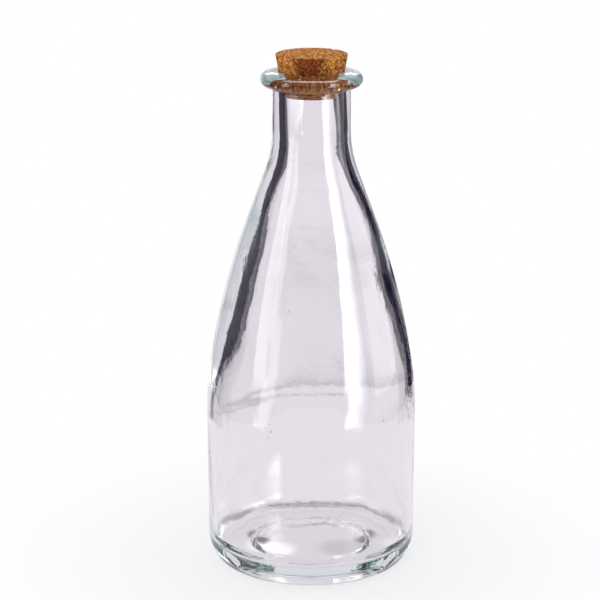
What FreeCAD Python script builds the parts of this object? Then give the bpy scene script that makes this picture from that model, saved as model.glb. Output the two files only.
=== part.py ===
"""A corked glass bottle: one moulded glass bottle, and the tapered cork pushed into its mouth.

The origin is on the axis, in the plane of the foot, and +Z runs up the axis to the cork.
Sizes are in millimetres. They are kept in the document's "Sizes" sheet, and every sketch
dimension and fillet reads them from there.
"""

import FreeCAD, Part
import math
import os

import Sketcher

# name of each size, its value, and what it measures
SIZES = [
    ("bottle_height", 204.5, "foot to the top of the lip"),
    ("body_diameter", 86.0, "outside of the wall where the shoulder begins"),
    ("wall_flare", 0.25, "how much narrower, in radius, the wall is just above the heel"),
    ("wall_height", 63.7, "foot to the top of the straight wall"),
    ("knuckle_rise", 16.8, "height of the first, tighter arc of the shoulder"),
    ("knuckle_radius", 127.0, "radius of that arc"),
    ("cone_rise", 18.8, "height of the straight cone above the shoulder's long arc"),
    ("sweep_rise", 17.6, "height of the hollow sweep from the cone into the neck"),
    ("neck_length", 17.8, "straight neck, from that sweep to the bottom of the lip"),
    ("neck_diameter", 31.5, "outside of the neck"),
    ("lip_overhang", 4.75, "how far the lip stands out from the neck"),
    ("lip_thickness", 5.5, "the rolled lip, top to bottom"),
    ("lip_root_rounding", 0.8, "fillet under the lip"),
    ("heel_height", 12.2, "foot to the top of the rounded heel"),
    ("heel_radius", 18.0, "upper, open arc of the heel"),
    ("foot_radius", 5.5, "lower, tight arc of the heel, down to the foot"),
    ("body_wall", 3.0, "glass in the straight wall"),
    ("shoulder_gather", 8.0, "how much lower the inside of the shoulder lies than its outside"),
    ("bore_diameter", 21.6, "inside of the neck"),
    ("mouth_rounding", 3.1, "rounded inner edge of the mouth"),
    ("floor_thickness", 8.0, "foot to the edge of the inside floor"),
    ("floor_rise", 1.0, "how far the inside floor domes up at the axis"),
    ("inside_heel_radius", 6.0, "inside corner between the floor and the wall"),
    ("push_up_diameter", 52.0, "hollow under the foot, at the foot"),
    ("push_up_depth", 4.6, "that hollow at the axis"),
    ("push_up_rounding", 1.6, "rounded edge of that hollow"),
    ("cork_top_diameter", 29.7, "wide end of the cork"),
    ("cork_shown", 7.4, "cork above the lip"),
    ("cork_depth", 9.4, "cork below the top of the lip"),
    ("cork_gap", 0.1, "clearance between the squeezed cork and the glass"),
    ("cork_top_rounding", 0.6, "worn edge round the wide end"),
    ("cork_end_rounding", 0.6, "worn edge round the small end"),
]
OVERSHOOT = 2.0  # how far a cutting profile reaches past the face that it opens
MATCH = 1e-3  # how closely an edge's place must match the place that is asked for


class Segment:
    """One edge of a profile, with the numbers that the sketch gives its two ends."""

    def __init__(self, index, clockwise=False):
        self.index = index
        self.start = 2 if clockwise else 1
        self.end = 1 if clockwise else 2


class Profile:
    """A half section drawn on a body's XZ plane: a chain of lines and arcs round to its start.

    The places given to line_to and arc_to are only first guesses. The joints between
    segments and the dimensions bound to the sheet settle the true shape.
    """

    CENTRE = 3

    def __init__(self, body, name, x, z):
        self.sketch = body.newObject("Sketcher::SketchObject", name)
        self.sketch.AttachmentSupport = [(origin_plane(body, "XZ_Plane"), "")]
        self.sketch.MapMode = "FlatFace"
        self.pen = FreeCAD.Vector(x, z, 0)
        self.segments = []

    def line_to(self, x, z, smooth=False):
        tip = FreeCAD.Vector(x, z, 0)
        index = self.sketch.addGeometry(Part.LineSegment(self.pen, tip))
        return self._add(Segment(index), tip, smooth)

    def arc_to(self, x, z, turn, smooth=True):
        """An arc that turns by the given angle on its way, to the left where it is positive."""
        tip = FreeCAD.Vector(x, z, 0)
        half = (tip - self.pen) / 2
        to_the_right = FreeCAD.Vector(half.y, -half.x, 0)
        middle = self.pen + half + to_the_right * math.tan(turn / 4)
        index = self.sketch.addGeometry(Part.Arc(self.pen, middle, tip))
        return self._add(Segment(index, clockwise=turn < 0), tip, smooth)

    def _add(self, segment, tip, smooth):
        if self.segments:
            self._join(self.segments[-1], segment, smooth)
        self.segments.append(segment)
        self.pen = tip
        return segment

    def _join(self, before, after, smooth):
        kind = "Tangent" if smooth else "Coincident"
        self.hold(kind, before.index, before.end, after.index, after.start)

    def close(self):
        self._join(self.segments[-1], self.segments[0], smooth=False)

    def hold(self, kind, *where):
        return self.sketch.addConstraint(Sketcher.Constraint(kind, *where))

    def on_axis(self, segment, point):
        self.hold("PointOnObject", segment.index, point, -2)

    def _bind(self, index, name, formula):
        self.sketch.renameConstraint(index, name)
        self.sketch.setExpression(f"Constraints.{name}", formula)

    def radius(self, name, segment, formula):
        present = self.sketch.Geometry[segment.index].Radius
        self._bind(self.hold("Radius", segment.index, present), name, formula)

    def across(self, name, segment, point, formula):
        """Distance of a point from the axis."""
        present = self.sketch.getPoint(segment.index, point).x
        self._bind(self.hold("DistanceX", -1, 1, segment.index, point, present), name, formula)

    def height(self, name, segment, point, formula):
        """Height of a point above the plane of the foot."""
        present = self.sketch.getPoint(segment.index, point).y
        self._bind(self.hold("DistanceY", -1, 1, segment.index, point, present), name, formula)


def origin_plane(body, role):
    return next(item for item in body.Origin.OriginFeatures if item.Role == role)


def make_sheet(document):
    """The sheet: each size's name in column A, its value and alias in B, its meaning in C."""
    sheet = document.addObject("Spreadsheet::Sheet", "Sizes")
    for row, (name, value, meaning) in enumerate(SIZES, start=1):
        sheet.set(f"A{row}", name)
        sheet.set(f"B{row}", str(value))
        sheet.setAlias(f"B{row}", name)
        sheet.set(f"C{row}", meaning)
    document.recompute()
    return sheet


def make_body(document, name):
    body = document.addObject("PartDesign::Body", name)
    body.Label = name
    body.Placement = FreeCAD.Placement()
    return body


def turn_about_axis(body, kind, name, profile):
    """Turn a profile right round the axis, as material (Revolution) or as a cut (Groove)."""
    feature = body.newObject(f"PartDesign::{kind}", name)
    feature.Profile = profile.sketch
    feature.ReferenceAxis = (profile.sketch, ["V_Axis"])
    feature.Angle = 360
    body.Document.recompute()
    return feature


def cut_about_axis(body, name, profile):
    """A Groove that must take glass away."""
    before = body.Shape.Volume
    groove = turn_about_axis(body, "Groove", name, profile)
    if not body.Shape.Volume < before:
        raise RuntimeError(f"{name} cut nothing")
    return groove


def round_edge(body, name, radius_from_axis, height, formula):
    """Fillet the one circular edge at this radius and height."""
    base = body.Tip
    names = [
        f"Edge{number}"
        for number, edge in enumerate(base.Shape.Edges, start=1)
        if not edge.Degenerated
        and abs(edge.Length / (2 * math.pi) - radius_from_axis) < MATCH
        and abs(edge.CenterOfMass.z - height) < MATCH
    ]
    if len(names) != 1:
        raise RuntimeError(f"{name} found {len(names)} edges where there should be one")
    fillet = body.newObject("PartDesign::Fillet", name)
    fillet.Base = (base, names)
    fillet.setExpression("Radius", formula)
    body.Document.recompute()
    return fillet


def shoulder_lean(size, drop, long_rise):
    """First guess at the lean of the shoulder's cone, which brings it in by this drop.

    Each arc brings the profile in by its rise times the mean of the leans at its ends.
    """
    knuckle_lean = math.asin(size("knuckle_rise") / size("knuckle_radius"))
    drop_left = drop - (size("knuckle_rise") + long_rise) * knuckle_lean / 2
    cone_lean = drop_left / (long_rise / 2 + size("cone_rise") + size("sweep_rise") / 2)
    return knuckle_lean, cone_lean


def draw_shoulder(profile, size, neck_radius, lowered_by=0, down=""):
    """Knuckle, long arc, cone and sweep, from the pen's place into the neck.

    lowered_by is how much lower this shoulder lies than the bottle's outside one, and down
    says the same at the end of each height's formula.
    """
    wall_radius, wall_top = profile.pen.x, profile.pen.y
    neck_foot = size("bottle_height") - size("lip_thickness") - size("neck_length") - lowered_by
    sweep_foot = neck_foot - size("sweep_rise")
    cone_foot = sweep_foot - size("cone_rise")
    arc_foot = wall_top + size("knuckle_rise")
    long_rise = cone_foot - arc_foot
    knuckle_lean, cone_lean = shoulder_lean(size, wall_radius - neck_radius, long_rise)

    arc_foot_radius = wall_radius - size("knuckle_rise") * math.tan(knuckle_lean / 2)
    cone_foot_radius = arc_foot_radius - long_rise * math.tan((knuckle_lean + cone_lean) / 2)
    sweep_foot_radius = cone_foot_radius - size("cone_rise") * math.tan(cone_lean)
    knuckle = profile.arc_to(arc_foot_radius, arc_foot, knuckle_lean)
    long_arc = profile.arc_to(cone_foot_radius, cone_foot, cone_lean - knuckle_lean)
    cone = profile.line_to(sweep_foot_radius, sweep_foot, smooth=True)
    sweep = profile.arc_to(neck_radius, neck_foot, -cone_lean)

    neck_foot_formula = f"Sizes.bottle_height - Sizes.lip_thickness - Sizes.neck_length{down}"
    profile.radius("knuckle_radius", knuckle, "Sizes.knuckle_radius")
    profile.height("knuckle_top", knuckle, knuckle.end, f"Sizes.wall_height + Sizes.knuckle_rise{down}")
    sweep_foot_formula = f"{neck_foot_formula} - Sizes.sweep_rise"
    profile.height("cone_foot", long_arc, long_arc.end, f"{sweep_foot_formula} - Sizes.cone_rise")
    profile.height("sweep_foot", cone, cone.end, sweep_foot_formula)
    profile.height("neck_foot", sweep, sweep.end, neck_foot_formula)


def draw_outside(body, size):
    """Half section of the bottle as if it were solid glass, drawn up the outside."""
    wall_radius = size("body_diameter") / 2
    heel_top_radius = wall_radius - size("wall_flare")
    neck_radius = size("neck_diameter") / 2
    lip_arc_radius = size("lip_thickness") / 2
    lip_centre = neck_radius + size("lip_overhang") - lip_arc_radius
    lip_middle = size("bottle_height") - lip_arc_radius
    lip_root = lip_middle - math.sqrt(lip_arc_radius**2 - (lip_centre - neck_radius) ** 2)

    # the heel's two arcs meet where they lean alike
    arcs_apart = size("heel_radius") - size("foot_radius")
    heel_turn = math.asin((size("heel_height") - size("foot_radius")) / arcs_apart)
    heel_centre = heel_top_radius - size("heel_radius")
    meet_radius = heel_centre + size("heel_radius") * math.cos(heel_turn)
    meet_height = size("heel_height") - size("heel_radius") * math.sin(heel_turn)
    foot_edge = heel_centre + arcs_apart * math.cos(heel_turn)

    profile = Profile(body, "OutsideProfile", 0, 0)
    foot = profile.line_to(foot_edge, 0)
    foot_arc = profile.arc_to(meet_radius, meet_height, math.pi / 2 - heel_turn)
    heel_arc = profile.arc_to(heel_top_radius, size("heel_height"), heel_turn)
    wall = profile.line_to(wall_radius, size("wall_height"), smooth=True)
    draw_shoulder(profile, size, neck_radius)
    neck = profile.line_to(neck_radius, lip_root, smooth=True)
    root_turn = math.pi + math.asin((lip_centre - neck_radius) / lip_arc_radius)
    lip = profile.arc_to(lip_centre, size("bottle_height"), root_turn, smooth=False)
    lip_top = profile.line_to(0, size("bottle_height"), smooth=True)
    axis = profile.line_to(0, 0)
    profile.close()

    profile.hold("Coincident", foot.index, foot.start, -1, 1)
    profile.hold("Horizontal", foot.index)
    profile.hold("Vertical", neck.index)
    profile.hold("Horizontal", lip_top.index)
    profile.on_axis(axis, axis.start)
    profile.radius("foot_radius", foot_arc, "Sizes.foot_radius")
    profile.radius("heel_radius", heel_arc, "Sizes.heel_radius")
    profile.height("heel_height", wall, wall.start, "Sizes.heel_height")
    profile.across("heel_top", wall, wall.start, "Sizes.body_diameter / 2 - Sizes.wall_flare")
    profile.height("wall_height", wall, wall.end, "Sizes.wall_height")
    profile.across("wall_top", wall, wall.end, "Sizes.body_diameter / 2")
    profile.across("neck", neck, neck.end, "Sizes.neck_diameter / 2")
    profile.radius("lip_radius", lip, "Sizes.lip_thickness / 2")
    lip_centre_formula = "Sizes.neck_diameter / 2 + Sizes.lip_overhang - Sizes.lip_thickness / 2"
    profile.across("lip_centre", lip, Profile.CENTRE, lip_centre_formula)
    profile.height("bottle_height", lip_top, lip_top.start, "Sizes.bottle_height")
    return profile, lip_root


def draw_inside(body, size):
    """Half section of the hollow, drawn from the middle of its floor up through the mouth."""
    wall_radius = size("body_diameter") / 2 - size("body_wall")
    heel_top_radius = wall_radius - size("wall_flare")
    heel = size("inside_heel_radius")
    floor_middle = size("floor_thickness") + size("floor_rise")
    floor_edge = heel_top_radius - heel
    floor_lean = 2 * size("floor_rise") / floor_edge
    wall_top = size("wall_height") - size("shoulder_gather")
    bore = size("bore_diameter") / 2
    past_mouth = size("bottle_height") + OVERSHOOT

    profile = Profile(body, "InsideProfile", 0, floor_middle)
    floor = profile.arc_to(floor_edge, size("floor_thickness"), -floor_lean)
    heel_top = size("floor_thickness") + heel
    heel_arc = profile.arc_to(heel_top_radius, heel_top, math.pi / 2 + floor_lean)
    wall = profile.line_to(wall_radius, wall_top, smooth=True)
    draw_shoulder(profile, size, bore, size("shoulder_gather"), " - Sizes.shoulder_gather")
    neck = profile.line_to(bore, past_mouth, smooth=True)
    top = profile.line_to(0, past_mouth)
    axis = profile.line_to(0, floor_middle)
    profile.close()

    profile.on_axis(floor, Profile.CENTRE)
    profile.on_axis(axis, axis.start)
    profile.on_axis(axis, axis.end)
    profile.hold("Vertical", neck.index)
    profile.hold("Horizontal", top.index)
    floor_middle_formula = "Sizes.floor_thickness + Sizes.floor_rise"
    profile.height("floor_middle", floor, floor.start, floor_middle_formula)
    profile.height("floor_edge", floor, floor.end, "Sizes.floor_thickness")
    profile.radius("inside_heel", heel_arc, "Sizes.inside_heel_radius")
    wall_formula = "Sizes.body_diameter / 2 - Sizes.body_wall"
    profile.across("heel_top", wall, wall.start, f"{wall_formula} - Sizes.wall_flare")
    profile.across("wall_top", wall, wall.end, wall_formula)
    profile.height("wall_height", wall, wall.end, "Sizes.wall_height - Sizes.shoulder_gather")
    profile.across("bore", neck, neck.end, "Sizes.bore_diameter / 2")
    profile.height("past_mouth", neck, neck.end, f"Sizes.bottle_height + {OVERSHOOT}")
    return profile


def draw_push_up(body, size):
    """Half section of the shallow domed hollow under the foot."""
    edge = size("push_up_diameter") / 2
    profile = Profile(body, "PushUpProfile", 0, -OVERSHOOT)
    under = profile.line_to(edge, -OVERSHOOT)
    side = profile.line_to(edge, 0)
    dome_turn = 4 * math.atan(size("push_up_depth") / edge)
    dome = profile.arc_to(0, size("push_up_depth"), dome_turn / 2, smooth=False)
    axis = profile.line_to(0, -OVERSHOOT)
    profile.close()

    profile.hold("Horizontal", under.index)
    profile.hold("Vertical", side.index)
    profile.hold("PointOnObject", side.index, side.end, -1)
    profile.on_axis(dome, Profile.CENTRE)
    profile.on_axis(axis, axis.start)
    profile.on_axis(axis, axis.end)
    profile.across("push_up_edge", side, side.end, "Sizes.push_up_diameter / 2")
    profile.height("push_up_depth", dome, dome.end, "Sizes.push_up_depth")
    profile.hold("DistanceY", side.index, side.start, side.index, side.end, OVERSHOOT)
    return profile


def make_bottle(document, size):
    """The bottle: turned solid, hollowed through the mouth, pushed up under the foot, edges rounded."""
    body = make_body(document, "glass_bottle")
    outside, lip_root = draw_outside(body, size)
    turn_about_axis(body, "Revolution", "Outside", outside)
    cut_about_axis(body, "Hollow", draw_inside(body, size))
    cut_about_axis(body, "PushUp", draw_push_up(body, size))
    bore = size("bore_diameter") / 2
    round_edge(body, "Mouth", bore, size("bottle_height"), "Sizes.mouth_rounding")
    round_edge(body, "LipRoot", size("neck_diameter") / 2, lip_root, "Sizes.lip_root_rounding")
    round_edge(body, "PushUpEdge", size("push_up_diameter") / 2, 0, "Sizes.push_up_rounding")
    return body


def draw_cork(body, size):
    """Half section of the cork as it sits: tapered above the lip, squeezed to the bore below."""
    squeezed = size("bore_diameter") / 2 - size("cork_gap")
    mouth_edge = size("bore_diameter") / 2 + size("mouth_rounding")
    mouth_foot = size("bottle_height") - size("mouth_rounding")
    cork_end = size("bottle_height") - size("cork_depth")
    cork_top = size("bottle_height") + size("cork_shown")
    cork_top_radius = size("cork_top_diameter") / 2

    profile = Profile(body, "CorkProfile", 0, cork_end)
    end = profile.line_to(squeezed, cork_end)
    plug = profile.line_to(squeezed, mouth_foot)
    mouth = profile.arc_to(mouth_edge, size("bottle_height") + size("cork_gap"), -math.pi / 2)
    side = profile.line_to(cork_top_radius, cork_top)
    top = profile.line_to(0, cork_top)
    axis = profile.line_to(0, cork_end)
    profile.close()

    profile.hold("Horizontal", end.index)
    profile.hold("Vertical", plug.index)
    profile.hold("Horizontal", top.index)
    profile.on_axis(axis, axis.start)
    profile.on_axis(axis, axis.end)
    profile.height("cork_end", end, end.end, "Sizes.bottle_height - Sizes.cork_depth")
    profile.across("squeezed", plug, plug.end, "Sizes.bore_diameter / 2 - Sizes.cork_gap")
    mouth_foot_formula = "Sizes.bottle_height - Sizes.mouth_rounding"
    profile.height("mouth_foot", mouth, Profile.CENTRE, mouth_foot_formula)
    profile.radius("mouth_radius", mouth, "Sizes.mouth_rounding + Sizes.cork_gap")
    mouth_edge_formula = "Sizes.bore_diameter / 2 + Sizes.mouth_rounding"
    profile.across("mouth_edge", mouth, mouth.end, mouth_edge_formula)
    profile.across("cork_top_edge", side, side.end, "Sizes.cork_top_diameter / 2")
    profile.height("cork_top", side, side.end, "Sizes.bottle_height + Sizes.cork_shown")
    return profile, squeezed, cork_end, cork_top


def make_cork(document, size):
    """The cork: one turned piece, its two edges worn round."""
    body = make_body(document, "cork_stopper")
    profile, squeezed, cork_end, cork_top = draw_cork(body, size)
    turn_about_axis(body, "Revolution", "Cork", profile)
    round_edge(body, "TopEdge", size("cork_top_diameter") / 2, cork_top, "Sizes.cork_top_rounding")
    round_edge(body, "EndEdge", squeezed, cork_end, "Sizes.cork_end_rounding")
    return body


def check_document(document, bodies):
    """Stop before anything is written if a feature failed or a body isn't one good solid."""
    for item in document.Objects:
        if "Invalid" in item.State or "Error" in item.State:
            raise RuntimeError(f"{item.Label} failed: {item.State}")
        if item.TypeId == "Sketcher::SketchObject" and item.solve() != 0:
            raise RuntimeError(f"{item.Label} doesn't solve")
    for body in bodies:
        shape = body.Shape
        if shape.isNull() or not shape.isValid() or len(shape.Solids) != 1:
            raise RuntimeError(f"{body.Label} isn't one good solid")


def main():
    document = FreeCAD.newDocument("CorkedBottle")
    sheet = make_sheet(document)
    bodies = [make_bottle(document, sheet.get), make_cork(document, sheet.get)]
    document.recompute()
    check_document(document, bodies)
    os.makedirs("parts", exist_ok=True)
    for body in bodies:
        body.Shape.exportStep(f"parts/{body.Label}.step")
        box = body.Shape.optimalBoundingBox()
        volume = body.Shape.Volume / 1000
        print(f"{body.Label}: {volume:.1f} cm3, z {box.ZMin:.2f} to {box.ZMax:.2f}, width {box.XLength:.2f}")


main()
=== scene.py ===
import math

import bmesh
import bpy
from mathutils import Matrix, Vector, noise


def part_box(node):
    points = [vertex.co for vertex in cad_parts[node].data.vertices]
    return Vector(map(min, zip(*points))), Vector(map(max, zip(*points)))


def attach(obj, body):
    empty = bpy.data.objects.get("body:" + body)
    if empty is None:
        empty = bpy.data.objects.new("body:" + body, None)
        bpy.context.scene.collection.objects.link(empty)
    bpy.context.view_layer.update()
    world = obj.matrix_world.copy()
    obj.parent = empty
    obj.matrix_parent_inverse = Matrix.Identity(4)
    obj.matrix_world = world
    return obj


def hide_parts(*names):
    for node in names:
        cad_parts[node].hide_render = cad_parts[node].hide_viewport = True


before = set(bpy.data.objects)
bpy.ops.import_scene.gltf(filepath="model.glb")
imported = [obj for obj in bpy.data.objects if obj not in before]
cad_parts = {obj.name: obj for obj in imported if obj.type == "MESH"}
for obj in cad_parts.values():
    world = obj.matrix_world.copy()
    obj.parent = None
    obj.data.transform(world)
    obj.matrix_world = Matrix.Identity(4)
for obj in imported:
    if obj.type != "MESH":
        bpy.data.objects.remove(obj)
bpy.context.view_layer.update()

# ---------------------------------------------------------------------------------------------
# The bottle. One piece of clear soda-lime glass, faintly blue-green where it is thick, blown in
# a mould: smooth and even outside, slightly wavy inside, with a fire-polished lip and mouth and
# a few seeds (tiny bubbles) in the wall.
MM = 0.001
IN_MM = 1000
TURN = 2 * math.pi

bottle_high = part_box("glass_bottle")[1]
LIP_TOP = bottle_high.z
INSIDE_THE_BOX = 0.03 * MM
BODY_RADIUS = bottle_high.x - INSIDE_THE_BOX
WALL_FLARE = 0.25 * MM
HEEL_TOP = 12.2 * MM
HEEL_RADIUS = 18.0 * MM
FOOT_RADIUS = 5.5 * MM
WALL_TOP = 63.7 * MM
KNUCKLE_RISE = 16.8 * MM
KNUCKLE_RADIUS = 127.0 * MM
CONE_RISE = 18.8 * MM
SWEEP_RISE = 17.6 * MM
NECK_LENGTH = 17.8 * MM
NECK_RADIUS = 15.75 * MM
LIP_THICKNESS = 5.5 * MM
LIP_OVERHANG = 4.75 * MM
LIP_ROOT_ROUNDING = 0.8 * MM
BODY_WALL = 3.0 * MM
SHOULDER_GATHER = 3.0 * MM
BORE_RADIUS = 10.8 * MM
MOUTH_ROUNDING = 3.0 * MM
LIP_TOP_LEAN = math.radians(20)
FLOOR_THICKNESS = 8.0 * MM
FLOOR_RISE = 1.0 * MM
INSIDE_HEEL = 6.0 * MM
PUSH_UP_RADIUS = 26.0 * MM
PUSH_UP_DOME = math.radians(4)
PUSH_UP_SIDE = math.radians(60)
PUSH_UP_ROUNDING = 1.6 * MM
PUSH_UP_STEP = 2.6 * MM
NECK_WAVES = 0.3
WALL_WAVES = 1.0
FLOOR_WAVES = 0.6
STEEPEST_LEAN = 1.3
HALVINGS = 60
AROUND = 256
STEP = 1.1 * MM


class Outline:
    """A half section drawn like a pen stroke: lines ahead, and arcs that start along the heading."""

    def __init__(self, x, z, heading):
        self.mesh = bmesh.new()
        self.wavy = self.mesh.verts.layers.float.new("wavy")
        self.waviness = 0.0
        self.tip = self.mesh.verts.new((x, 0, z))
        self.heading = heading

    def ahead(self, length, step=STEP):
        count = max(1, round(length / step))
        for _ in range(count):
            tip = bmesh.ops.extrude_vert_indiv(self.mesh, verts=[self.tip])["verts"][0]
            tip.co += self.direction() * length / count
            self._move_to(tip)

    def bend(self, radius, angle, least=8):
        """Turn by this angle on an arc of this radius, to the left where the angle is positive."""
        left = Vector((-math.sin(self.heading), 0, math.cos(self.heading)))
        centre = self.tip.co + left * math.copysign(radius, angle)
        count = max(least, round(radius * abs(angle) / STEP))
        for _ in range(count):
            made = bmesh.ops.spin(
                self.mesh, geom=[self.tip], cent=centre, axis=(0, -1, 0), angle=angle / count, steps=1
            )
            self._move_to(next(item for item in made["geom_last"] if isinstance(item, bmesh.types.BMVert)))
        self.heading += angle

    def direction(self):
        return Vector((math.cos(self.heading), 0, math.sin(self.heading)))

    def _move_to(self, tip):
        self.tip = tip
        tip[self.wavy] = self.waviness

    def spin_round(self, around):
        """Turn the outline right round the axis into a closed skin that faces outwards.

        One sixteenth is spun, and then doubled four times, which is far quicker than a full spin.
        """
        sector = TURN / 16
        outline = self.mesh.verts[:] + self.mesh.edges[:]
        bmesh.ops.spin(
            self.mesh, geom=outline, cent=(0, 0, 0), axis=(0, 0, 1), angle=sector, steps=around // 16
        )
        for doubling in range(4):
            so_far = self.mesh.verts[:] + self.mesh.edges[:] + self.mesh.faces[:]
            copied = bmesh.ops.duplicate(self.mesh, geom=so_far)["geom"]
            verts = [item for item in copied if isinstance(item, bmesh.types.BMVert)]
            onward = Matrix.Rotation(sector * 2**doubling, 3, "Z")
            bmesh.ops.rotate(self.mesh, cent=(0, 0, 0), matrix=onward, verts=verts)
        bmesh.ops.remove_doubles(self.mesh, verts=self.mesh.verts, dist=1e-6)
        bmesh.ops.recalc_face_normals(self.mesh, faces=self.mesh.faces)
        return self.mesh


def cone_lean(drop, knuckle_lean, long_rise):
    """The lean of the shoulder's cone that brings the wall in by this drop, found by halving."""
    low, high = knuckle_lean, STEEPEST_LEAN
    for _ in range(HALVINGS):
        lean = (low + high) / 2
        reach = (
            KNUCKLE_RISE * math.tan(knuckle_lean / 2)
            + long_rise * math.tan((knuckle_lean + lean) / 2)
            + CONE_RISE * math.tan(lean)
            + SWEEP_RISE * math.tan(lean / 2)
        )
        low, high = (lean, high) if reach < drop else (low, lean)
    return lean


def shoulder_shape(drop):
    """Leans, radii and length of the shoulder's arcs and cone, for a wall that comes in by drop."""
    long_rise = LIP_TOP - LIP_THICKNESS - NECK_LENGTH - SWEEP_RISE - CONE_RISE - KNUCKLE_RISE - WALL_TOP
    knuckle_lean = math.asin(KNUCKLE_RISE / KNUCKLE_RADIUS)
    lean = cone_lean(drop, knuckle_lean, long_rise)
    long_radius = long_rise / (math.sin(lean) - math.sin(knuckle_lean))
    return knuckle_lean, lean, long_radius, CONE_RISE / math.cos(lean), SWEEP_RISE / math.sin(lean)


def glass_outline():
    """Up the outside from the middle of the push-up, over the lip, and down the inside."""
    line = Outline(0, 0, 0)
    steep = PUSH_UP_SIDE - PUSH_UP_DOME
    rounded = PUSH_UP_ROUNDING * (math.sin(PUSH_UP_SIDE) * 2 - math.sin(PUSH_UP_DOME))
    dome_reach = PUSH_UP_RADIUS - rounded - PUSH_UP_STEP * math.cos(PUSH_UP_SIDE)
    line.bend(dome_reach / math.sin(PUSH_UP_DOME), -PUSH_UP_DOME)
    line.bend(PUSH_UP_ROUNDING, -steep)
    line.ahead(PUSH_UP_STEP)
    line.bend(PUSH_UP_ROUNDING, PUSH_UP_SIDE)
    bmesh.ops.translate(line.mesh, verts=line.mesh.verts, vec=(0, 0, -line.tip.co.z))
    arcs_apart = HEEL_RADIUS - FOOT_RADIUS
    heel_turn = math.asin((HEEL_TOP - FOOT_RADIUS) / arcs_apart)
    flare = math.atan(WALL_FLARE / (WALL_TOP - HEEL_TOP))
    foot_edge = BODY_RADIUS - WALL_FLARE - HEEL_RADIUS + arcs_apart * math.cos(heel_turn)
    line.ahead(foot_edge - line.tip.co.x)
    line.bend(FOOT_RADIUS, TURN / 4 - heel_turn)
    line.bend(HEEL_RADIUS, heel_turn - flare)
    line.ahead((WALL_TOP - line.tip.co.z) / math.cos(flare))
    line.bend(KNUCKLE_RADIUS, flare)
    knuckle_lean, lean, long_radius, cone, sweep_radius = shoulder_shape(line.tip.co.x - NECK_RADIUS)
    line.bend(KNUCKLE_RADIUS, knuckle_lean)
    line.bend(long_radius, lean - knuckle_lean)
    line.ahead(cone)
    line.bend(sweep_radius, -lean)

    bead = LIP_THICKNESS / 2
    bead_centre = NECK_RADIUS + LIP_OVERHANG - bead
    root = math.acos((bead_centre - NECK_RADIUS - LIP_ROOT_ROUNDING) / (bead + LIP_ROOT_ROUNDING))
    root_height = LIP_TOP - bead - (bead + LIP_ROOT_ROUNDING) * math.sin(root)
    line.ahead(root_height - line.tip.co.z)
    line.bend(LIP_ROOT_ROUNDING, root - TURN / 2, least=12)
    line.bend(bead, TURN * 3 / 4 - root - LIP_TOP_LEAN, least=40)
    to_mouth = line.tip.co.x - BORE_RADIUS - MOUTH_ROUNDING
    line.bend(to_mouth / math.sin(LIP_TOP_LEAN), LIP_TOP_LEAN, least=16)
    line.bend(MOUTH_ROUNDING, TURN / 4, least=14)

    mouth_foot = line.tip.co.z
    neck_foot = LIP_TOP - LIP_THICKNESS - NECK_LENGTH - SHOULDER_GATHER
    line.waviness = NECK_WAVES
    line.ahead(line.tip.co.z - neck_foot)
    line.waviness = WALL_WAVES
    inside_wall = BODY_RADIUS - BODY_WALL
    knuckle_lean, lean, long_radius, cone, sweep_radius = shoulder_shape(inside_wall - BORE_RADIUS)
    line.bend(sweep_radius, lean)
    line.ahead(cone)
    line.bend(long_radius, knuckle_lean - lean)
    line.bend(KNUCKLE_RADIUS, -knuckle_lean)
    line.bend(KNUCKLE_RADIUS, -flare)
    floor_lean = 2 * FLOOR_RISE / (inside_wall - WALL_FLARE - INSIDE_HEEL)
    heel_top = FLOOR_THICKNESS + INSIDE_HEEL
    line.ahead((line.tip.co.z - heel_top) / math.cos(flare))
    line.bend(INSIDE_HEEL, -(TURN / 4 - flare + floor_lean), least=16)
    floor_radius = line.tip.co.x / math.sin(floor_lean)
    line.waviness = FLOOR_WAVES
    line.bend(floor_radius, floor_lean)
    line.tip.co.x = 0
    return line, mouth_foot


def ease(value, start, end):
    """0 before start, 1 after end, smooth between."""
    part = min(1.0, max(0.0, (value - start) / (end - start)))
    return part * part * (3 - 2 * part)


# How much thicker the blown wall is than an even one at each height, on its left and on its
# right, in mm. A negative number makes it thinner.
UNEVEN_WALL = [
    (34, 0.0, 0.0),
    (50, 0.0, 0.0),
    (66, 0.3, 0.1),
    (80, 2.4, 0.1),
    (93, 4.5, 0.8),
    (106, 4.8, 1.3),
    (119, 4.1, 1.1),
    (131, 3.2, 0.0),
    (140, 2.0, -1.1),
    (149, 0.6, -1.8),
    (159, 0.0, -1.7),
    (170, 0.1, -1.0),
    (183, 0.0, -0.8),
    (195, 0.0, -0.2),
    (210, 0.0, 0.0),
]


# The waves inside, in mm: how wide, how tall, where in the noise they start, and how deep.
WAVES = [(17, 45, 7, 0.22), (7, 16, 31, 0.09), (3.2, 7, 11, 0.025)]

# Two low rings inside, in mm: one across the far wall, just under the shoulder, and one round
# the floor.
WALL_RING_RISE = 0.16
WALL_RING_HEIGHT = 63.0
WALL_RING_WIDTH = 2.2
FLOOR_RING_RISE = 0.45
FLOOR_RING_RADIUS = 34.5
FLOOR_RING_WIDTH = 1.3
FLOOR_RING_BELOW = 14

# The seeds: azimuth from the front in degrees, and in mm how far out, how high, and how big.
SEEDS = [
    (-22.7, 41.6, 66.8, 0.3),
    (-24.4, 41.5, 64.2, 0.22),
    (-23.6, 41.4, 69.9, 0.18),
    (71.0, 40.6, 77.0, 0.3),
    (35.0, 41.5, 38.0, 0.2),
    (128.0, 41.4, 52.0, 0.35),
    (-105.0, 41.5, 31.0, 0.3),
    (-160.0, 37.5, 96.0, 0.32),
]
SEED_STRETCH = 1.6


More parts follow.
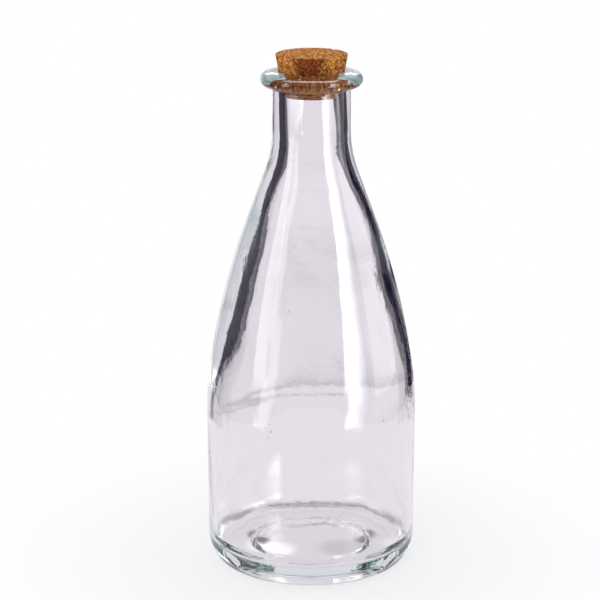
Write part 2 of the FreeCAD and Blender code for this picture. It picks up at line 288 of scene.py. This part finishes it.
def along(before, start, end, after, part):
    """A smooth curve from start to end that leaves and arrives in line with its neighbours."""
    leaving, arriving = (end - before) / 2, (after - start) / 2
    return (
        start * (1 + 2 * part) * (1 - part) ** 2
        + leaving * part * (1 - part) ** 2
        + end * part**2 * (3 - 2 * part)
        - arriving * part**2 * (1 - part)
    )


def thickening(height):
    """The left and right of UNEVEN_WALL at any height."""
    for four in zip(UNEVEN_WALL, UNEVEN_WALL[1:], UNEVEN_WALL[2:], UNEVEN_WALL[3:]):
        low, high = four[1][0], four[2][0]
        if low <= height <= high:
            part = (height - low) / (high - low)
            return [along(*[row[side] for row in four], part) for side in (1, 2)]
    return [0.0, 0.0]


def wave(place, wide, tall, start):
    return noise.noise(Vector((place.x / wide, place.y / wide, place.z / tall + start)))


def ridge(distance, width):
    return math.exp(-((distance / width) ** 2))


def unevenness(place, out, waviness):
    """How far the inside of the glass stands out from the smooth outline at a place, in mm."""
    rise = WALL_RING_RISE * ridge(place.z - WALL_RING_HEIGHT, WALL_RING_WIDTH) * ease(out.y, 0.0, 0.5)
    if place.z < FLOOR_RING_BELOW:
        rise += FLOOR_RING_RISE * ridge(place.xy.length - FLOOR_RING_RADIUS, FLOOR_RING_WIDTH)
    waves = sum(depth * wave(place, wide, tall, start) for wide, tall, start, depth in WAVES)
    return waviness * waves + rise


def add_seed(mesh, azimuth, out, height, radius):
    """A tiny bubble, drawn out upwards, whose skin faces into the bubble."""
    angle = math.radians(azimuth)
    middle = Vector((out * math.sin(angle), -out * math.cos(angle), height)) * MM
    drawn_out = Matrix.Diagonal((radius * MM, radius * MM, SEED_STRETCH * radius * MM, 1))
    seed = bmesh.ops.create_icosphere(
        mesh, subdivisions=2, radius=1.0, matrix=Matrix.Translation(middle) @ drawn_out
    )["verts"]
    bmesh.ops.reverse_faces(mesh, faces=list({face for vert in seed for face in vert.link_faces}))


def bottle_mesh():
    """The outline spun round, with the inner wall pushed in and out as the glass gathered."""
    line, mouth_foot = glass_outline()
    mesh = line.spin_round(AROUND)
    for vert in mesh.verts:
        waviness = vert[line.wavy]
        if not waviness:
            continue
        place = vert.co * IN_MM
        out = Vector((vert.co.x, vert.co.y, 0)).normalized()
        left, right = thickening(place.z)
        side = out.x * abs(out.x)
        vert.co -= out * MM * ((left + right) / 2 + (right - left) / 2 * side)
        vert.co += vert.normal * MM * unevenness(place, out, waviness)
    for seed in SEEDS:
        add_seed(mesh, *seed)
    return mesh, mouth_foot


def finished(name, mesh, material):
    """A piece made from a bmesh, shaded smooth."""
    data = bpy.data.meshes.new(name)
    mesh.to_mesh(data)
    mesh.free()
    for face in data.polygons:
        face.use_smooth = True
    data.materials.append(material)
    piece = bpy.data.objects.new(name, data)
    bpy.context.scene.collection.objects.link(piece)
    return piece


class Socket:
    """A node's output that takes part in Python arithmetic by adding Math nodes."""

    def __init__(self, finish, output):
        self.finish, self.output = finish, output

    def _maths(self, operation, first, second):
        return self.finish.add("ShaderNodeMath", {"operation": operation}, {0: first, 1: second})[0]

    def __add__(self, other):
        return self._maths("ADD", self, other)

    def __sub__(self, other):
        return self._maths("SUBTRACT", self, other)

    def __rsub__(self, other):
        return self._maths("SUBTRACT", other, self)

    def __mul__(self, other):
        return self._maths("MULTIPLY", self, other)

    __radd__ = __add__
    __rmul__ = __mul__


class Finish:
    """A material, or the world, as a tree of nodes. add() makes any node."""

    def __init__(self, owner):
        owner.use_nodes = True
        self.owner = owner
        self.tree = owner.node_tree
        self.tree.nodes.clear()

    def add(self, kind, settings=None, inputs=None):
        node = self.tree.nodes.new(kind)
        for name, value in (settings or {}).items():
            if name == "stops":
                self._set_stops(node.color_ramp, value)
            else:
                setattr(node, name, value)
        for name, value in (inputs or {}).items():
            if isinstance(value, Socket):
                self.tree.links.new(value.output, node.inputs[name])
            else:
                node.inputs[name].default_value = value
        return [Socket(self, output) for output in node.outputs]

    def fade(self, value, start, end, low=0.0, high=1.0, kind="SMOOTHSTEP"):
        """Low at start and high at end, held beyond both, with a slope between them."""
        inputs = {0: value, 1: start, 2: end, 3: low, 4: high}
        return self.add("ShaderNodeMapRange", {"interpolation_type": kind}, inputs)[0]

    @staticmethod
    def _set_stops(ramp, stops):
        while len(ramp.elements) < len(stops):
            ramp.elements.new(0.5)
        for element, (place, colour) in zip(ramp.elements, stops):
            element.position, element.color = place, (*colour, 1)


RIPPLE = 0.1
PEEL = 0.16
GLASS_COLOUR = (0.97, 0.955, 0.97, 1)
THICK_GLASS_COLOUR = (0.55, 0.76, 0.74, 1)


def clear_glass():
    finish = Finish(bpy.data.materials.new("clear_glass"))
    coords = finish.add("ShaderNodeTexCoord")[3]
    ripple = finish.add(
        "ShaderNodeTexNoise", {}, {"Vector": coords, "Scale": 160.0, "Detail": 2.0, "Roughness": 0.5}
    )[0]
    orange_peel = finish.add(
        "ShaderNodeTexNoise", {}, {"Vector": coords, "Scale": 620.0, "Detail": 2.0, "Roughness": 0.6}
    )[0]
    inside = finish.add("ShaderNodeAttribute", {"attribute_name": "wavy"})[2]
    height = ripple * RIPPLE + orange_peel * inside * PEEL
    bump = finish.add("ShaderNodeBump", {}, {"Strength": 0.5, "Distance": 0.0004, "Height": height})[0]
    shader = finish.add(
        "ShaderNodeBsdfPrincipled",
        {},
        {
            "Base Color": GLASS_COLOUR,
            "Roughness": 0.0,
            "IOR": 1.5,
            "Transmission Weight": 1.0,
            "Specular IOR Level": 0.36,
            "Normal": bump,
        },
    )[0]
    tint = finish.add("ShaderNodeVolumeAbsorption", {}, {"Color": THICK_GLASS_COLOUR, "Density": 5.5})[0]
    finish.add("ShaderNodeOutputMaterial", {}, {"Surface": shader, "Volume": tint})
    return finish.owner


glass, mouth_foot = bottle_mesh()
bottle = finished("bottle", glass, clear_glass())
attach(bottle, "root")
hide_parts("glass_bottle")

# ---------------------------------------------------------------------------------------------
# The cork. Granules of cork bark, glued and pressed into a block and turned to a tapered plug.
# It is pushed into the mouth, which squeezes it tight below the lip. Its lower end is loose.
cork_low, cork_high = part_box("cork_stopper")
PRESSED = 0.12 * MM
LOOSE_END = 0.35 * MM
PRESSED_FROM = 196.9 * MM
CORK_TOP_RADIUS = 14.76 * MM
CORK_ROUNDING = 0.6 * MM
HEAD_RADIUS = 13.4 * MM
CORK_AROUND = 288
ENDS_STEP = 0.4 * MM
PLUG_STEP = 0.35 * MM
HEAD_STEP = 0.3 * MM

# How big the granules and pits are, and how deep each mark on the surface is, in mm.
GRANULE = 1.25
PIT = 1.7
GRIT = 0.5
SEAM_DEPTH = 0.10
GRANULE_DEPTH = 0.10
PIT_DEPTH = 0.42
GRIT_DEPTH = 0.05
SQUEEZED_DEPTH = 0.35
SQUEEZED_BELOW_HEAD = 0.3


def cork_outline():
    """Up the outside of the plug from the middle of its loose end, and in over its top."""
    squeezed = BORE_RADIUS + PRESSED
    narrowing = LOOSE_END + PRESSED
    taper = math.atan2(narrowing, PRESSED_FROM - cork_low.z)
    line = Outline(0, cork_low.z, 0)
    line.ahead(squeezed - narrowing - CORK_ROUNDING, step=ENDS_STEP)
    line.bend(CORK_ROUNDING, TURN / 4 - taper, least=4)
    line.ahead((squeezed - line.tip.co.x) / math.sin(taper), step=PLUG_STEP)
    line.bend(CORK_ROUNDING, taper, least=4)
    line.ahead(mouth_foot - line.tip.co.z, step=PLUG_STEP)
    line.bend(MOUTH_ROUNDING - PRESSED, -TURN / 4, least=14)
    head_foot = line.tip.co.z
    lean = math.atan2(CORK_TOP_RADIUS - HEAD_RADIUS, cork_high.z - head_foot)
    line.ahead(HEAD_RADIUS - CORK_ROUNDING - line.tip.co.x, step=HEAD_STEP)
    line.bend(CORK_ROUNDING, TURN / 4 - lean, least=5)
    side = (cork_high.z - line.tip.co.z) / math.cos(lean)
    cut = CORK_ROUNDING * math.tan((TURN / 4 + lean) / 2)
    line.ahead(side - cut, step=HEAD_STEP)
    line.bend(CORK_ROUNDING, TURN / 4 + lean, least=4)
    line.ahead(line.tip.co.x, step=ENDS_STEP)
    line.tip.co.x = 0
    return line, head_foot


def cork_mesh():
    """The plug spun round, cut into by the seams between its granules, and by pits and grit."""
    line, head_foot = cork_outline()
    mesh = line.spin_round(CORK_AROUND)
    for vert in mesh.verts:
        place = vert.co * IN_MM
        near, cells = noise.voronoi(place / GRANULE)
        seam = 1 - ease(near[1] - near[0], 0.0, 0.3)
        granule = 0.5 + 0.5 * noise.cell(cells[0] * 7.3)
        pit = ease(noise.noise(place / PIT + Vector((3, 9, 4))), 0.28, 0.5)
        grit = 0.5 + 0.5 * noise.noise(place / GRIT)
        deep = SEAM_DEPTH * seam + GRANULE_DEPTH * granule + PIT_DEPTH * pit + GRIT_DEPTH * grit
        if place.z < IN_MM * head_foot + SQUEEZED_BELOW_HEAD:
            deep *= SQUEEZED_DEPTH
        vert.co -= vert.normal * deep * MM
    return mesh


GRANULE_TONES = [
    (0.05, (0.15, 0.03, 0.004)),
    (0.3, (0.45, 0.13, 0.012)),
    (0.6, (0.64, 0.22, 0.024)),
    (0.95, (0.95, 0.46, 0.10)),
]
FLECK_BROWN = (0.10, 0.022, 0.004, 1)
PALE_CHIP = (0.95, 0.6, 0.27, 1)
PIT_BROWN = (0.045, 0.012, 0.004, 1)
FRONT_SHADE_BROWN = (0.16, 0.02, 0.003, 1)
FRONT_SHADE_FLECK = (0.035, 0.006, 0.002, 1)
PLUG_SHADE_BROWN = (0.13, 0.028, 0.006, 1)

# Where the painted shade down the front starts on each side, and in front, and where the painted shade on
# the squeezed plug ends.
FRONT_SHADE_LEFT = (-0.0078, -0.0044)
FRONT_SHADE_RIGHT = (0.0012, 0.009, 1.0, 0.0)
FRONT_SHADE_NEAR = (-0.0112, -0.0122)
FRONT_SHADE_WANDER = 0.004
PLUG_SHADE_TOP = (0.2030, 0.2050, 1.0, 0.0)


def pressed_cork():
    """Granules in four browns, with flecks, chips and pits, painted shade down the front, and painted
    shade on the plug in the mouth.
    """
    finish = Finish(bpy.data.materials.new("pressed_cork"))
    coords = finish.add("ShaderNodeTexCoord")[3]

    def blend(amount, first, second):
        return finish.add("ShaderNodeMix", {"data_type": "RGBA"}, {0: amount, 6: first, 7: second})[2]

    def speckle(scale, detail, low, high, offset):
        spots = finish.add(
            "ShaderNodeTexNoise",
            {"noise_dimensions": "4D"},
            {"Vector": coords, "W": offset, "Scale": scale, "Detail": detail, "Roughness": 0.6},
        )[0]
        return finish.fade(spots, low, high)

    granules = finish.add("ShaderNodeTexVoronoi", {"feature": "F1"}, {"Vector": coords, "Scale": 1000.0})
    tones = finish.add("ShaderNodeValToRGB", {"stops": GRANULE_TONES}, {"Fac": granules[1]})[0]
    flecks = speckle(1300.0, 2.0, 0.52, 0.57, 2.0)
    chips = speckle(1350.0, 2.0, 0.54, 0.60, 5.0)
    pits = speckle(760.0, 3.0, 0.60, 0.66, 9.0)
    colour = blend(flecks * 0.85, tones, FLECK_BROWN)
    colour = blend(chips * 0.65, colour, PALE_CHIP)
    colour = blend(pits * 0.85, colour, PIT_BROWN)

    x, y, z = finish.add("ShaderNodeSeparateXYZ", {}, {0: coords})
    wander = finish.add("ShaderNodeTexNoise", {}, {"Vector": coords, "Scale": 450.0, "Detail": 3.0})[0]
    # Painted shade: a darker band down the front of the cork, with darker flecks in it.
    across = x + (wander - 0.5) * FRONT_SHADE_WANDER
    left_edge = finish.fade(across, *FRONT_SHADE_LEFT)
    right_edge = finish.fade(across, *FRONT_SHADE_RIGHT)
    front = finish.fade(y, *FRONT_SHADE_NEAR, kind="LINEAR")
    front_shade = left_edge * right_edge * front
    colour = blend(front_shade * 0.82, colour, FRONT_SHADE_BROWN)
    colour = blend(front_shade * flecks * 0.6, colour, FRONT_SHADE_FLECK)
    # Painted shade on the squeezed plug inside the mouth, below the lip.
    squeezed = finish.fade(z, *PLUG_SHADE_TOP)
    colour = blend(squeezed * 0.62, colour, PLUG_SHADE_BROWN)

    height = granules[0] * 0.6 + wander * 0.5 - pits * 0.8 - flecks * 0.3
    relief = finish.add("ShaderNodeBump", {}, {"Strength": 0.8, "Distance": 0.0004, "Height": height})[0]
    shader = finish.add(
        "ShaderNodeBsdfPrincipled",
        {},
        {"Base Color": colour, "Roughness": 0.85, "Specular IOR Level": 0.1, "Normal": relief},
    )[0]
    finish.add("ShaderNodeOutputMaterial", {}, {"Surface": shader})
    return finish.owner


cork = finished("cork", cork_mesh(), pressed_cork())
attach(cork, "root")
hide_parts("cork_stopper")

# ---------------------------------------------------------------------------------------------
# The papers. A pale backdrop, a pale paper round the sides and front, and a pale sheet under the
# bottle. They glow softly and aren't in the picture themselves: the glass shows them.
QUARTER = TURN / 4
LILAC = (0.86, 0.82, 0.87)
PAPER_GLOW = 0.95
PAPER_INNER_RADIUS = 0.24
PAPER_WALL_RADIUS = 1.7
PAPER_WALL_HEIGHT = 1.5
PAPER_FLOOR = -0.0006
PAPER_FROM = 74
SHEET_FLOOR = -0.0005
SHEET_CORNERS = [
    (-0.26, -0.7),
    (0.26, -0.7),
    (0.26, 0.22),
    (0.10, 0.26),
    (0.22, 0.75),
    (-0.44, 0.75),
    (-0.17, 0.26),
    (-0.26, 0.22),
]

# Where the sheet's painted shade changes: round the axis under the foot, in a shadow ring round the foot,
# and in a shadow line far behind.
FOOT_SHADE = (0.03, 0.06, 0.86, 1.0)
SHADOW_RING_INSIDE = (0.0405, 0.0435, 0.0, 0.55)
SHADOW_RING_OUTSIDE = (0.046, 0.052, 1.0, 0.0)
SHADOW_LINE_NEAR = (0.312, 0.330, 0.0, 0.30)
SHADOW_LINE_FAR = (0.330, 0.44, 1.0, 0.0)
# Painted spots of light and shade under the foot: place across and behind, radius, and how much brighter
# each is.
SPOTS = [
    (-0.017, -0.004, 0.013, 0.6),
    (0.014, -0.002, 0.014, -0.22),
    (0.036, -0.002, 0.008, 0.25),
    (-0.0225, 0.008, 0.007, -0.9),
    (0.0235, 0.008, 0.007, -0.8),
]
SPOT_CORE = 0.4


def glowing(name, colour, strength):
    """A material that glows evenly."""
    finish = Finish(bpy.data.materials.new(name))
    glow = finish.add("ShaderNodeEmission", {}, {"Color": (*colour, 1), "Strength": strength})[0]
    finish.add("ShaderNodeOutputMaterial", {}, {"Surface": glow})
    return finish.owner


def glow_by(finish, colour, amount):
    """End a material as a glow of this colour, as bright at each place as the amount there."""
    tinted = finish.add("ShaderNodeVectorMath", {"operation": "SCALE"}, {0: colour, "Scale": amount})[0]
    glow = finish.add("ShaderNodeEmission", {}, {"Color": tinted, "Strength": 1.0})[0]
    finish.add("ShaderNodeOutputMaterial", {}, {"Surface": glow})
    return finish.owner


def hide_from(piece, *rays):
    """Let these kinds of ray pass through a piece of the studio."""
    for ray in rays:
        setattr(piece, f"visible_{ray}", False)


def card(name, width, height, place, turn, material):
    """A flat card that casts no shadow and isn't in the picture itself."""
    mesh = bmesh.new()
    bmesh.ops.create_grid(mesh, x_segments=1, y_segments=1, size=0.5)
    piece = finished(name, mesh, material)
    piece.scale = (width, height, 1)
    piece.rotation_euler = turn
    piece.location = place
    hide_from(piece, "camera", "shadow")
    return piece


def paper_bend():
    """Pale paper on the floor and up the walls, round the sides and front but not the back."""
    mesh = bmesh.new()
    start = math.radians(90 - PAPER_FROM)
    corners = [
        (PAPER_INNER_RADIUS, PAPER_FLOOR),
        (PAPER_WALL_RADIUS, PAPER_FLOOR),
        (PAPER_WALL_RADIUS, PAPER_WALL_HEIGHT),
    ]
    verts = [mesh.verts.new((math.cos(start) * out, math.sin(start) * out, z)) for out, z in corners]
    for pair in zip(verts, verts[1:]):
        mesh.edges.new(pair)
    profile = mesh.verts[:] + mesh.edges[:]
    sweep = math.radians(2 * PAPER_FROM - 360)
    bmesh.ops.spin(mesh, geom=profile, cent=(0, 0, 0), axis=(0, 0, 1), angle=sweep, steps=48)
    return mesh


def table_sheet():
    """The pale sheet under the bottle: wide where it stands, then narrowing and opening out."""
    mesh = bmesh.new()
    mesh.faces.new([mesh.verts.new((x, y, SHEET_FLOOR)) for x, y in SHEET_CORNERS])
    return mesh


def table_look():
    """The sheet's glow, with painted shade: dimmer under the bottle, with a painted shadow ring round its
    foot, a painted shadow line far behind it, and painted spots of light and shade under its foot."""
    finish = Finish(bpy.data.materials.new("table_sheet"))
    coords = finish.add("ShaderNodeTexCoord")[3]

    def spot(x, y, radius, amount):
        away = finish.add("ShaderNodeVectorMath", {"operation": "DISTANCE"}, {0: coords, 1: (x, y, 0)})[1]
        return finish.fade(away, radius * SPOT_CORE, radius, amount, 0.0)

    far = finish.add("ShaderNodeVectorMath", {"operation": "LENGTH"}, {0: coords})[1]
    behind = finish.add("ShaderNodeSeparateXYZ", {}, {0: coords})[1]
    light = finish.fade(far, *FOOT_SHADE)
    light = light - finish.fade(far, *SHADOW_RING_INSIDE) * finish.fade(far, *SHADOW_RING_OUTSIDE)
    light = light - finish.fade(behind, *SHADOW_LINE_NEAR) * finish.fade(behind, *SHADOW_LINE_FAR)
    for place_and_size in SPOTS:
        light = light + spot(*place_and_size)
    return glow_by(finish, LILAC, light)


card("backdrop", 0.66, 1.1, (-0.11, 0.75, 0.55), (QUARTER, 0, 0), glowing("backdrop", LILAC, 1.0))

paper = finished("side_paper", paper_bend(), glowing("side_paper", LILAC, PAPER_GLOW))
hide_from(paper, "camera", "glossy", "diffuse", "shadow")

table_top = finished("table_top", table_sheet(), table_look())
hide_from(table_top, "camera", "diffuse", "shadow")

# ---------------------------------------------------------------------------------------------
# The lamps. A softbox on each side makes the long highlights down the bottle. Strips above and
# behind, and a card on the right, make those on the lip and edges. Two large soft lamps light the
# cork and the floor.
WHITE = (1, 1, 1)
RIM_LIGHT = 6.0
DOME_LIGHT = 25.0
LIP_LIGHT = 8.0
WALL_LIGHT = 1.5


def softbox_cloth(name, azimuth, strength, crisp):
    """Cloth that glows brightest near its inner edge, and fades towards its outer one."""
    cloth = Finish(bpy.data.materials.new(name))
    coords = cloth.add("ShaderNodeTexCoord")[3]
    x, y = cloth.add("ShaderNodeSeparateXYZ", {}, {0: coords})[:2]
    inward = x * math.copysign(1, azimuth)
    glow = cloth.fade(inward, -0.5, -0.5 + crisp) * cloth.fade(inward, -0.5 + crisp * 2, 0.5, 1.0, 0.0)
    glow = glow * cloth.fade(y, 0.4, 0.5, 1.0, 0.0) * cloth.fade(y, -0.5, -0.42)
    return glow_by(cloth, WHITE, glow * strength)


def softbox(name, azimuth, distance, base, top, width, strength, crisp=0.12, roll=0.0):
    """A softbox that stands at this azimuth from the front and faces the bottle."""
    angle = math.radians(azimuth)
    place = (math.sin(angle) * distance, -math.cos(angle) * distance, (base + top) / 2)
    turn = (QUARTER, math.radians(roll), angle)
    piece = card(name, width, top - base, place, turn, softbox_cloth(name, azimuth, strength, crisp))
    hide_from(piece, "diffuse")


softbox("key_softbox", 54, 0.7, -0.02, 0.75, 0.36, 9.5, roll=12)
softbox("fill_softbox", -57, 0.8, 0.0, 0.85, 0.32, 4.2, crisp=0.45)
for name, width, height, place, lean, strength in (
    ("lamp_strip", 1.4, 0.5, (0, 0.06, 1.25), 0, LIP_LIGHT),
    ("rim_strip", 0.3, 0.06, (0, 0.7, 0.43), QUARTER, RIM_LIGHT),
    ("dome_strip", 0.5, 0.1, (0, 0.6, 0.92), math.radians(50), DOME_LIGHT),
):
    strip = card(name, width, height, place, (lean, 0, 0), glowing(name, WHITE, strength))
    hide_from(strip, "transmission", "diffuse")
side_light = glowing("side_wall", (1, 0.98, 1), WALL_LIGHT)
side_wall = card("side_wall", 0.65, 1.0, (1.0, 0.02, 0.45), (QUARTER, 0, QUARTER), side_light)
hide_from(side_wall, "diffuse")


def soft_lamp(name, size, energy, place, turn):
    """A large lamp that lights matt surfaces and isn't itself mirrored in the glass."""
    light = bpy.data.lights.new(name, "AREA")
    light.shape = "SQUARE"
    light.size = size
    light.energy = energy
    lamp = bpy.data.objects.new(name, light)
    lamp.location = place
    lamp.rotation_euler = turn
    hide_from(lamp, "glossy", "transmission")
    bpy.context.scene.collection.objects.link(lamp)


soft_lamp("overhead", 2.0, 3.4, (0, 0, 1.6), (0, 0, 0))
soft_lamp("front_lamp", 1.0, 6.5, (-0.25, -1.25, 0.55), (math.radians(74), 0, math.radians(-11)))

# ---------------------------------------------------------------------------------------------
# The floor and the room. A white matt floor that takes the bottle's soft shadow near its foot and
# is plain white further out. The room is white in the picture. The glass meets its dark walls and
# pale ceiling.
FLOOR_RADIUS = 4.0
FLOOR_HEIGHT = -0.0002
OPEN_FLOOR = (0.043, 0.16, 0.72, 1.0)
WALL_DARK = (0.009, 0.005, 0.024, 1)
CEILING_PALE = (0.76, 0.745, 0.76, 1)
CEILING_FROM = (0.28, 0.5)


def white_floor():
    paint = Finish(bpy.data.materials.new("white_floor"))
    matt = paint.add("ShaderNodeBsdfDiffuse", {}, {"Color": (0.9, 0.9, 0.9, 1)})[0]
    glow = paint.add("ShaderNodeEmission", {}, {"Color": (1, 1, 1, 1), "Strength": 1.0})[0]
    coords = paint.add("ShaderNodeTexCoord")[3]
    reach = paint.add("ShaderNodeVectorMath", {"operation": "LENGTH"}, {0: coords})[1]
    lit = paint.add("ShaderNodeMixShader", {}, {0: paint.fade(reach, *OPEN_FLOOR), 1: matt, 2: glow})[0]
    paint.add("ShaderNodeOutputMaterial", {}, {"Surface": lit})
    return paint.owner


floor_mesh = bmesh.new()
bmesh.ops.create_circle(floor_mesh, cap_ends=True, segments=96, radius=FLOOR_RADIUS)
bmesh.ops.translate(floor_mesh, verts=floor_mesh.verts, vec=(0, 0, FLOOR_HEIGHT))
floor = finished("floor", floor_mesh, white_floor())
hide_from(floor, "transmission", "glossy")

room = Finish(bpy.data.worlds.new("room"))
bpy.context.scene.world = room.owner
in_picture = room.add("ShaderNodeLightPath")[0]
white = room.add("ShaderNodeBackground", {}, {"Color": (1, 1, 1, 1), "Strength": 1.0})[0]
dark = room.add("ShaderNodeBackground", {}, {"Color": WALL_DARK, "Strength": 1.0})[0]
ceiling = room.add("ShaderNodeBackground", {}, {"Color": CEILING_PALE, "Strength": 1.0})[0]
way = room.add("ShaderNodeTexCoord")[0]
height = room.add("ShaderNodeSeparateXYZ", {}, {0: way})[2]
walls = room.add("ShaderNodeMixShader", {}, {0: room.fade(height, *CEILING_FROM), 1: dark, 2: ceiling})[0]
seen = room.add("ShaderNodeMixShader", {}, {0: in_picture, 1: walls, 2: white})[0]
room.add("ShaderNodeOutputWorld", {}, {"Surface": seen})

LIGHT_BOUNCES = 48
MIRROR_BOUNCES = 32
scene = bpy.context.scene
scene.view_settings.view_transform = "Standard"
scene.cycles.max_bounces = LIGHT_BOUNCES
scene.cycles.transmission_bounces = LIGHT_BOUNCES
scene.cycles.glossy_bounces = MIRROR_BOUNCES

# ---------------------------------------------------------------------------------------------
# The camera: a long lens in front of the bottle and above its cork, looking down at the bottle.
LENS = 137.4
SENSOR_WIDTH = 36.0
CAMERA_PLACE = (-0.0046, -0.9, 0.3651)
LOOKING_DOWN = 15.81

lens = bpy.data.cameras.new("camera")
lens.sensor_width = SENSOR_WIDTH
lens.lens = LENS
camera = bpy.data.objects.new("camera", lens)
camera.location = CAMERA_PLACE
camera.rotation_euler = (math.radians(90 - LOOKING_DOWN), 0, 0)
scene.collection.objects.link(camera)
scene.camera = camera
